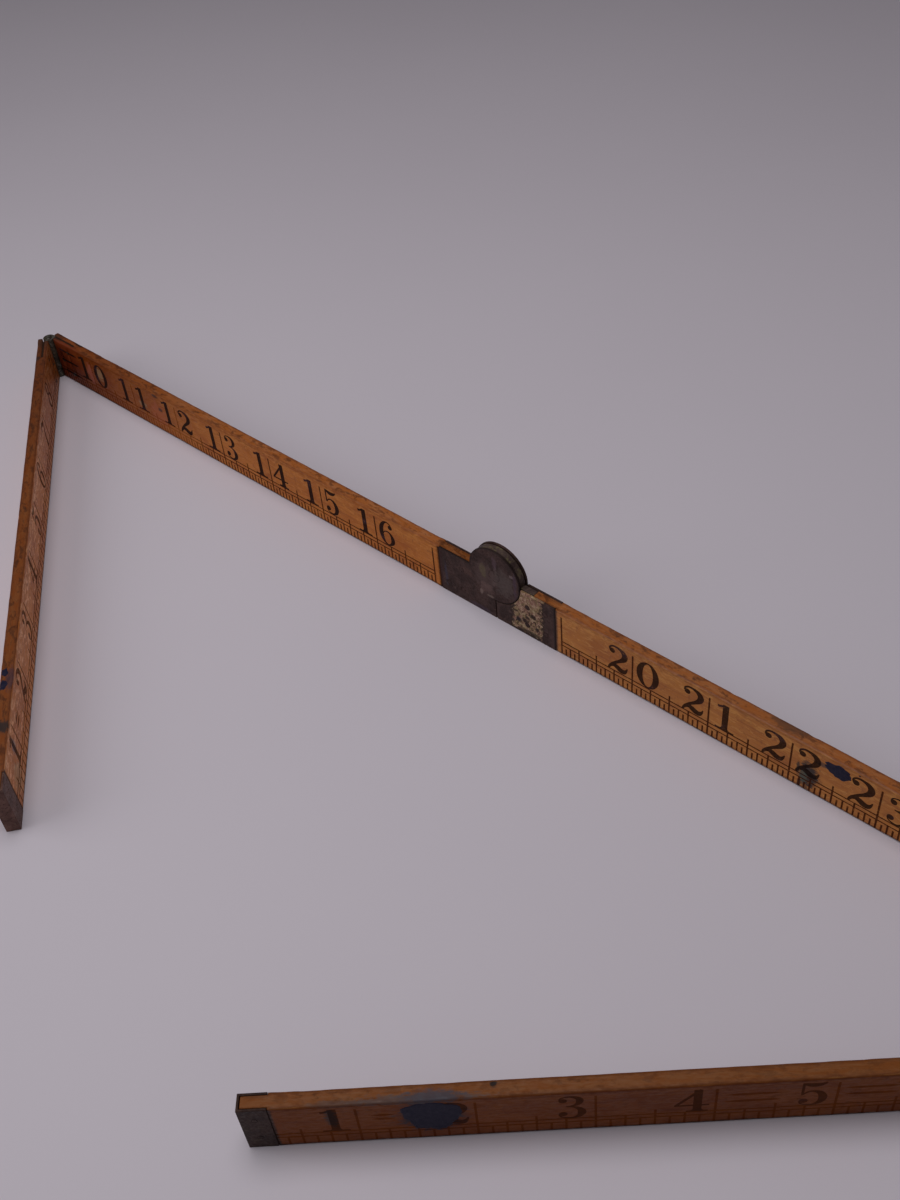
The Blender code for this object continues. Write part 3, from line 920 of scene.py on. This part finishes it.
def add_dirt(nodes, leg, wood, colour):
    """Lay dirt along the arrises and the foot, and a painted shadow along the seam with the metal."""
    soiled = nodes.ramp(nodes.plus(wood.from_arris, wood.fleck, -2.2), -1.1, 0.2, 0.75, 0)
    soil = nodes.mix(nodes.ramp(wood.up, 6, 12), DIRT, HIGH_DIRT)
    colour = nodes.mix(soiled, colour, soil)
    foot = nodes.ramp(nodes.plus(wood.up, wood.fleck, -1.6), -0.9, 0.35, 0.7, 0)
    colour = nodes.mix(foot, colour, DIRT)
    rubbed = nodes.ramp(nodes.plus(wood.from_arris, wood.streak, -1.6), -0.78, -0.45, 0.8, 0)
    colour = nodes.mix(rubbed, colour, WORN_WOOD)
    back = nodes.plus(wood.from_back, wood.fleck, -0.9)
    back = nodes.ramp(back, -0.55, 0.1, BACK_ARRIS[leg.letter], 0)
    colour = nodes.mix(nodes.times(back, wood.on_edge), colour, DIRT)
    # A painted shadow: a dark line on the faces along the gap where the wood meets its metal.
    seam = nodes.math("ABSOLUTE", nodes.minus(wood.along, METAL_SEAMS[leg.letter]))
    seam = nodes.ramp(nodes.plus(seam, wood.fleck, -1.2), -0.3, 0.5, 0.9, 0)
    colour = nodes.mix(nodes.times(seam, wood.on_face), colour, SEAM_SHADOW)
    grime = nodes.ramp(nodes.times(wood.fleck, wood.cloud), 0.34, 0.5, 0, 0.45)
    return nodes.mix(grime, colour, GRIME)


def add_shade(nodes, leg, wood, colour):
    """Bring a leg to its own shade, and to a darker one at its 9 inch hinge."""
    face_shade, edge_shade = LEG_SHADES[leg.letter]
    shade = nodes.mix(wood.on_edge, face_shade, edge_shade)
    colour = nodes.mix(1, colour, shade, "MULTIPLY")
    if leg.letter in HINGE_END_SHADES:
        reach, less_on_edge, shade = HINGE_END_SHADES[leg.letter]
        share = nodes.minus(1, nodes.times(wood.on_edge, less_on_edge))
        share = nodes.times(nodes.ramp(wood.along, *reach), share)
        colour = nodes.mix(share, colour, shade, "MULTIPLY")
    return colour


def wood_colour(nodes, leg):
    """Return a leg's noises and distances, its colour and its relief."""
    wood = Wood(nodes, leg)
    face = face_colour(nodes, leg, wood)
    colour = nodes.mix(wood.on_edge, face, edge_colour(nodes, leg, wood))
    colour = add_dirt(nodes, leg, wood, colour)
    colour = add_shade(nodes, leg, wood, colour)
    colour = add_stains(nodes, STAINS_AND_SHEEN[leg.letter], wood.place, wood.fleck, colour)
    relief = nodes.plus(nodes.times(wood.grain, 0.4), wood.fibre, 0.3)
    return wood, colour, nodes.plus(relief, wood.fleck, 0.5)


def wood_material(leg):
    """Return one leg's boxwood."""
    nodes = Nodes(f"boxwood_{leg.letter}")
    wood, colour, relief = wood_colour(nodes, leg)
    coat, specular = GLOSS[leg.letter]
    return nodes.finish(
        Base_Color=colour,
        Roughness=nodes.ramp(wood.fleck, 0.3, 0.7, 0.36, 0.62),
        Normal=nodes.bump(relief, 0.55, 0.00012),
        Coat_Weight=coat,
        Coat_Roughness=0.35,
        Specular_IOR_Level=specular,
    )


def finish_mark(nodes, kept, colour, mark, relief, speck):
    """Finish a matt mark on the wood, where it is kept."""
    return nodes.finish(
        Base_Color=nodes.mix(kept, colour, mark),
        Roughness=nodes.ramp(speck, 0.3, 0.7, 0.6, 0.8),
        Normal=nodes.bump(relief, 0.3, 0.00006),
        Specular_IOR_Level=0.05,
    )


def ink_material(leg):
    """Return printing ink that is rubbed through to the wood in places."""
    nodes = Nodes(f"ink_{leg.letter}")
    wood, colour, relief = wood_colour(nodes, leg)
    speck = nodes.noise(wood.place, 1.3, 5, 0.72)
    broad = nodes.stretched_noise(wood.place, (0.1, 0.16, 0.16), 2, 0.5)
    rubbed = nodes.plus(nodes.times(speck, 0.6), broad, 0.4)
    ink = nodes.mix(nodes.ramp(speck, 0.4, 0.62), INK_DARK, INK_BROWN)
    ink = nodes.lay(ink, INK_BLUE, broad, 0.54, 0.64, 0.6)
    strength = INK_STRENGTH[leg.letter]
    kept = nodes.ramp(rubbed, 0.55, 0.7, strength, strength * 0.3)
    return finish_mark(nodes, kept, colour, ink, relief, speck)


def cut_material(leg):
    """Return the reddish dark filling of the cut lines, worn in places."""
    nodes = Nodes(f"cut_{leg.letter}")
    wood, colour, relief = wood_colour(nodes, leg)
    speck = nodes.noise(wood.place, 0.9, 4, 0.7)
    broad = nodes.stretched_noise(wood.place, (0.06, 0.1, 0.1), 2, 0.5)
    rubbed = nodes.plus(nodes.times(speck, 0.65), broad, 0.35)
    strength = CUT_STRENGTH[leg.letter]
    kept = nodes.ramp(rubbed, 0.52, 0.72, strength, strength * 0.35)
    if leg.letter == "b":
        # The lines are worn faint between about 10 and 12.5 inches.
        beyond = nodes.ramp(wood.along, 296, 330, 0.35, 1)
        before = nodes.ramp(wood.along, 246, 256, 1, 0)
        kept = nodes.times(kept, nodes.math("MAXIMUM", beyond, before))
    line = nodes.mix(nodes.ramp(speck, 0.4, 0.6), CUT_DARK, CUT_RED)
    return finish_mark(nodes, kept, colour, line, relief, speck)


def paint_material():
    """Return dried dark blue paint."""
    nodes = Nodes("blue_paint")
    place = nodes.in_millimetres(nodes.object_space())
    lumps = nodes.noise(place, 0.9, 4, 0.6)
    fine = nodes.noise(place, 4.5, 3, 0.6)
    colour = nodes.mix(nodes.ramp(lumps, 0.35, 0.65), PAINT_DARK, PAINT_LIGHT)
    return nodes.finish(
        Base_Color=nodes.lay(colour, PAINT_DUST, fine, 0.55, 0.75, 0.5),
        Roughness=nodes.ramp(fine, 0.3, 0.7, 0.5, 0.7),
        Normal=nodes.bump(fine, 0.5, 0.0001),
        Specular_IOR_Level=0.15,
    )


def brass_material(name, dark, light, bare, metallic, rub=0.58, extra=None):
    """Return old brass under a dark patina, rubbed pale in blotches.

    extra(nodes, place, colour, blotch, spots) may lay more over it.
    """
    nodes = Nodes(name)
    place = nodes.in_millimetres(nodes.object_space())
    cloud = nodes.noise(place, 0.2, 5, 0.6, 0.6)
    blotch = nodes.noise(place, 0.45, 5, 0.68, 0.5)
    spots = nodes.noise(place, 1.4, 5, 0.7)
    fine = nodes.noise(place, 5, 3, 0.6)
    colour = nodes.mix(nodes.ramp(cloud, 0.38, 0.62), dark, light)
    colour = nodes.mix(nodes.ramp(blotch, rub, rub + 0.08, 0, 0.6), colour, bare)
    colour = nodes.lay(colour, TARNISH, spots, 0.54, 0.68, 0.75)
    if extra:
        colour = extra(nodes, place, colour, blotch, spots)
    relief = nodes.plus(nodes.times(spots, 0.6), fine, 0.3)
    relief = nodes.plus(relief, blotch, 0.8)
    return nodes.finish(
        Base_Color=nodes.lay(colour, TARNISH, fine, 0.58, 0.8, 0.4),
        Roughness=nodes.ramp(spots, 0.3, 0.7, 0.42, 0.66),
        Normal=nodes.bump(relief, 0.5, 0.00018),
        Metallic=metallic,
        Specular_IOR_Level=0.22,
    )


def from_point(nodes, place, point):
    """Return the place from a point, and its x, y and z, in mm."""
    moved = nodes.add("ShaderNodeVectorMath", Vector=place)
    moved.operation = "SUBTRACT"
    moved.inputs[1].default_value = point / MM
    vector = moved.outputs["Vector"]
    return vector, *nodes.split(vector)


def distance(nodes, first, second):
    """Return how far two offsets at right angles reach together."""
    return nodes.math("SQRT", nodes.plus(nodes.times(first, first), second, second))


# Places on the middle joint's plates are from its pivot along x and z, in mm.
# Their stains go through both plates, which THROUGH is enough for.
THROUGH = 9
DISC_SPOTS = (
    ((3.5, -1), (5.6, 6.6), (0.12, 0.088, 0.08), 0.65),
    ((-3.5, -2), (6, 7), (0.125, 0.078, 0.07), 0.55),
    ((-4.4, 0), (1.7, 3.4), (0.15, 0.115, 0.055), 0.55),
    ((-3.2, -6.6), (3.4, 2.8), (0.17, 0.1, 0.088), 0.6),
    ((-5.5, -9), (0.8, 1.2), (0.3, 0.21, 0.18), 0.55),
    ((-1.8, -9.2), (1.9, 0.6), (0.26, 0.19, 0.16), 0.55),
    ((6.9, 3.4), (0.9, 0.8), (0.25, 0.18, 0.18), 0.6),
    ((0.4, 5.5), (1.3, 3.2), (0.13, 0.078, 0.095), 0.5),
    ((8.1, 0.5), (1, 7), (0.082, 0.046, 0.07), 0.65),
    ((-11.5, -4.2), (3.6, 1.6), (0.115, 0.058, 0.046), 0.55),
    ((-6.5, -16.4), (6, 1.3), (0.08, 0.05, 0.078), 0.55),
    ((-20.1, -10), (0.8, 6.4), (0.05, 0.042, 0.066), 0.75),
)
WORN_PITS = (
    ((14.8, -8.4), (1.5, 1.4), (0.03, 0.011, 0.004), 0.97),
    ((12.6, -9.9), (1.3, 0.9), (0.045, 0.018, 0.01), 0.95),
    ((11.3, -11.6), (1.6, 1.2), (0.028, 0.01, 0.006), 0.97),
    ((9, -12.3), (1.2, 1.5), (0.016, 0.01, 0.012), 0.97),
    ((16.1, -12.9), (1.1, 1.1), (0.024, 0.01, 0.006), 0.97),
    ((17.3, -5.6), (1.4, 0.7), (0.06, 0.03, 0.012), 0.9),
    ((14, -15.6), (5, 1), (0.055, 0.038, 0.018), 0.85),
    ((8, -9.2), (1.1, 0.5), (0.05, 0.022, 0.01), 0.85),
)
DISC_EDGE = 9.75
PLATE_B_END = (-20.9, -20.2)
PLATE_C_END = (21.9, 22.4)
PATCH_LEFT = 6.5
PATCH_RIGHT = 18.6
PATCH_FOOT = -16.4


def add_plate_stains(nodes, stains, place, ragged, colour):
    """Lay stains over a plate, each placed and sized in x and z alone."""
    deep = [
        ((x, 0, z), (reach_x, THROUGH, reach_z), *rest)
        for (x, z), (reach_x, reach_z), *rest in stains
    ]
    return add_stains(nodes, deep, place, ragged, colour)


def disc_marks(nodes, place, colour, blotch, spots):
    """Blotch the plate that carries a disc and darken its free edges."""
    centred, x, _, z = from_point(nodes, place, PIVOT)
    colour = add_plate_stains(nodes, DISC_SPOTS, centred, blotch, colour)
    rim = nodes.math("ABSOLUTE", nodes.minus(distance(nodes, x, z), DISC_EDGE))
    free = nodes.math("MAXIMUM", nodes.ramp(z, -0.6, 0.3), nodes.ramp(x, -0.3, 0.4))
    rim = nodes.times(nodes.ramp(rim, 0.08, 0.38, 0.75, 0), free)
    colour = nodes.mix(rim, colour, TARNISH)
    end = nodes.ramp(nodes.plus(x, spots, 2.2), *PLATE_B_END, 0.9, 0)
    colour = nodes.mix(end, colour, PLATE_END)
    top = nodes.ramp(nodes.plus(z, spots, -0.6), -0.9, -0.6)
    top = nodes.times(top, nodes.ramp(x, -10.5, -9.8, 1, 0))
    return nodes.mix(nodes.times(top, 0.8), colour, TARNISH)


def worn_patch(nodes, place, colour, blotch, spots):
    """Lay a pale, pitted patch of worn metal over the middle of plate C."""
    centred, x, _, z = from_point(nodes, place, PIVOT)
    coarse = nodes.noise(place, 0.62, 4, 0.62, 0.8)
    flakes = nodes.stretched_noise(place, (1.25, 1, 0.85), 4, 0.7, 0.9)
    from_left = nodes.minus(x, PATCH_LEFT)
    from_right = nodes.minus(PATCH_RIGHT, x)
    from_foot = nodes.minus(z, PATCH_FOOT)
    inside = nodes.math("MINIMUM", nodes.math("MINIMUM", from_left, from_right), from_foot)
    inside = nodes.plus(inside, nodes.minus(coarse, 0.5), 6)
    bare = nodes.mix(nodes.ramp(blotch, 0.42, 0.56), BARE_YELLOW, BARE_PINK)
    bare = nodes.lay(bare, BARE_PALE, flakes, 0.53, 0.6, 0.7)
    smooth = nodes.ramp(nodes.plus(z, coarse, 4), -5.5, -2.5)
    smooth = nodes.minus(1, nodes.times(smooth, 0.6))
    net = nodes.times(nodes.ramp(flakes, 0.42, 0.5, 0.95, 0), smooth)
    bare = nodes.mix(net, bare, BARE_NET)
    bare = nodes.lay(bare, BARE_PORES, spots, 0.57, 0.66, 0.6)
    bare = add_plate_stains(nodes, WORN_PITS, centred, spots, bare)
    colour = nodes.mix(nodes.ramp(inside, -0.1, 0.3), colour, bare)
    outline = nodes.ramp(nodes.math("ABSOLUTE", inside), 0.15, 1.1, 0.9, 0)
    colour = nodes.mix(outline, colour, BARE_OUTLINE)
    end = nodes.ramp(nodes.plus(x, spots, -0.8), *PLATE_C_END, 0, 0.95)
    return nodes.mix(end, colour, BARE_END)


def leaf_marks(joint_name):
    """Return marks that darken a hinge's leaves beyond their knuckles."""
    axis = Vector(joints[joint_name]["pos_m"])

    def marks(nodes, place, colour, _, spots):
        """Lay dirt over the brass away from the hinge's axis."""
        _, x, y, _ = from_point(nodes, place, axis)
        away = nodes.plus(distance(nodes, x, y), spots, 0.8)
        return nodes.lay(colour, DIRT, away, 2.6, 3.2, 0.92)

    return marks


def floor_material():
    """Return the pale matt floor."""
    nodes = Nodes("pale_floor")
    cloud = nodes.noise(nodes.object_space(), 5, 4, 0.5)
    return nodes.finish(
        Base_Color=nodes.mix(cloud, FLOOR_DARK, FLOOR_LIGHT),
        Roughness=0.7,
        Specular_IOR_Level=0.25,
    )


# ---- dress the CAD


def dress(prefixes, material):
    """Give every CAD node whose name starts with a prefix one material."""
    for name, node in frame["nodes"].items():
        if name.startswith(prefixes):
            for slot in node.material_slots:
                slot.material = material


# The dark, the light and the rubbed shade of each brass.
JOINT_SHADES = (PATINA_DARK, PATINA_LIGHT, RUBBED_PINK)
RIM_SHADES = ((0.05, 0.028, 0.026), (0.095, 0.06, 0.05), (0.18, 0.145, 0.07))
HINGE_SHADES = ((0.05, 0.038, 0.028), (0.11, 0.09, 0.062), (0.24, 0.23, 0.2))
LOW_CAP_SHADES = ((0.096, 0.042, 0.032), (0.18, 0.09, 0.07), (0.22, 0.14, 0.1))
HIGH_CAP_SHADES = ((0.025, 0.008, 0.005), (0.044, 0.018, 0.0115), (0.066, 0.042, 0.022))

# A later row goes over an earlier one where both name a node.
for prefixes, material in (
    (("joint_",), brass_material("joint_brass", *JOINT_SHADES, 0.35)),
    (
        ("joint_plate_b_front", "pivot_"),
        brass_material("disc_brass", *JOINT_SHADES, 0.35, extra=disc_marks),
    ),
    (
        ("joint_plate_c_front",),
        brass_material("worn_joint_brass", *JOINT_SHADES, 0.2, extra=worn_patch),
    ),
    (("joint_tongue",), brass_material("rim_brass", *RIM_SHADES, 0.2, rub=0.52)),
    (("hinge_",), brass_material("hinge_brass", *HINGE_SHADES, 0.6, rub=0.53)),
    (("tip_cap_a", "cap_rivet_a"), brass_material("low_cap_brass", *LOW_CAP_SHADES, 0.2)),
    (("tip_cap_d", "cap_rivet_d"), brass_material("high_cap_brass", *HIGH_CAP_SHADES, 0.2)),
):
    dress(prefixes, material)
for name in ("hinge_9", "hinge_27"):
    marks = leaf_marks(name)
    leaf_brass = brass_material(name + "_brass", *HINGE_SHADES, 0.6, rub=0.53, extra=marks)
    dress((name + "_leaf",), leaf_brass)

# How far from an outer hinge's line its knuckles keep the wood and the marks.
HINGE_CLEAR = 0.11
# By leg: between which places, in inches, the wood's arrises are worn.
WORN_LENGTHS = {
    "a": (0.31, 9 - HINGE_CLEAR),
    "b": (9 + HINGE_CLEAR, 17.05),
    "c": (18.98, 27 - HINGE_CLEAR),
    "d": (27 + HINGE_CLEAR, 35.69),
}
for leg in LEGS.values():
    start, end = WORN_LENGTHS[leg.letter]
    worn_leg(leg, start * INCH, end * INCH)

# By leg: the figures on a face, where its lines start and end, in inches, and
# the finest division. The second face is read from the rule's other end.
FACE_ONE = {
    "a": (range(1, 9), 0.28, 9 - HINGE_CLEAR, 8),
    "b": (range(10, 17), 9 + HINGE_CLEAR, 17, 16),
    "c": (range(20, 27), 19, 27 - HINGE_CLEAR, 16),
    "d": (range(28, 36), 27 + HINGE_CLEAR, 35.72, 8),
}
FACE_TWO = {
    "d": (range(1, 9), 0.28, 8.97, 8),
    "c": (range(10, 17), 9.03, 17, 16),
    "b": (range(20, 27), 19, 26.97, 16),
    "a": (range(28, 36), 27.03, 35.72, 8),
}
for leg in LEGS.values():
    ink = ink_material(leg)
    cut = cut_material(leg)
    for side, plan in (("front", FACE_ONE), ("back", FACE_TWO)):
        numbers, start, end, finest = plan[leg.letter]
        figures_on(leg, side, numbers, ink)
        graduations_on(leg, side, start, end, finest, cut)
        bars_on(leg, side, ink if leg.letter == "b" else cut)

paint = paint_material()
for name, letter, side, *shape in (
    ("paint_blotch_c", "c", "front", 572, 13.8, 4.2, 2.5, 3),
    ("paint_drop_c", "c", "front", 577.7, 16.3, 0.35, 0.3, 5),
    ("paint_blotch_d", "d", "back", 41.4, 10.6, 6.4, 7.2, 11),
    ("paint_drop_a_high", "a", "top", 44.9, 2.7, 1.7, 1, 17),
    ("paint_drop_a_low", "a", "top", 39.8, 2.8, 2.1, 1.1, 23),
):
    paint_spot(name, LEGS[letter], side, *shape, paint)

# ---- stage


FLOOR_REACH = 6
FLOOR_FAR_END = 2.2
FLOOR_RISE_START = 0.9
FLOOR_RISE = 0.9
FLOOR_ROWS = 80
WORLD_COLOUR = (1, 0.98, 1, 1)
WORLD_STRENGTH = 0.105
# Each lamp's name, place, size in metres and power in watts.
LAMPS = (
    ("key", (-0.05, 0, 0.7), 0.5, 1.95),
    ("front_fill", (-0.55, -0.65, 0.6), 0.8, 2.4),
)


def make_floor():
    """Make a pale floor that rises softly far behind the rule."""
    verts = []
    faces = []
    for row in range(FLOOR_ROWS + 1):
        y = -FLOOR_REACH + (FLOOR_REACH + FLOOR_FAR_END) * row / FLOOR_ROWS
        lift = max(0, y - FLOOR_RISE_START) ** 2 * FLOOR_RISE
        for x in (-FLOOR_REACH, FLOOR_REACH):
            verts.append((x, y, lift))
    for row in range(FLOOR_ROWS):
        base = 2 * row
        faces.append((base, base + 1, base + 3, base + 2))
    mesh = bpy.data.meshes.new("floor")
    mesh.from_pydata(verts, [], faces)
    mesh.materials.append(floor_material())
    mesh.shade_smooth()
    add_object("floor", mesh)


def add_lamp(name, place, size, power):
    """Add one soft area lamp that points at the middle of the floor."""
    lamp = bpy.data.lights.new(name, "AREA")
    lamp.shape = "DISK"
    lamp.size = size
    lamp.energy = power
    item = add_object(name, lamp)
    item.location = place
    item.rotation_euler = (-Vector(place)).to_track_quat("-Z", "Y").to_euler()


def make_light():
    """Light the rule softly from above and from the front left."""
    world = bpy.data.worlds.new("studio")
    world.use_nodes = True
    background = world.node_tree.nodes["Background"]
    background.inputs["Color"].default_value = WORLD_COLOUR
    background.inputs["Strength"].default_value = WORLD_STRENGTH
    bpy.context.scene.world = world
    for lamp in LAMPS:
        add_lamp(*lamp)


# From the foot of the middle joint in metres, its turn in degrees, its lens in mm.
CAMERA_FROM_MIDDLE = Vector((0.19941, -0.2095, 0.28108))
CAMERA_TURN = (46.611, 4.51, 42.066)
CAMERA_LENS = 39.44


def make_camera():
    """Look down along the rule from the high end's side."""
    data = bpy.data.cameras.new("camera")
    data.sensor_width = 36
    data.lens = CAMERA_LENS
    data.clip_start = 0.01
    data.clip_end = 20
    camera = add_object("camera", data)
    camera.location = Vector((PIVOT.x, FACE_Y, 0)) + CAMERA_FROM_MIDDLE
    camera.rotation_euler = [math.radians(angle) for angle in CAMERA_TURN]
    bpy.context.scene.camera = camera


make_floor()
make_light()
make_camera()
bpy.context.scene.view_settings.view_transform = "Standard"
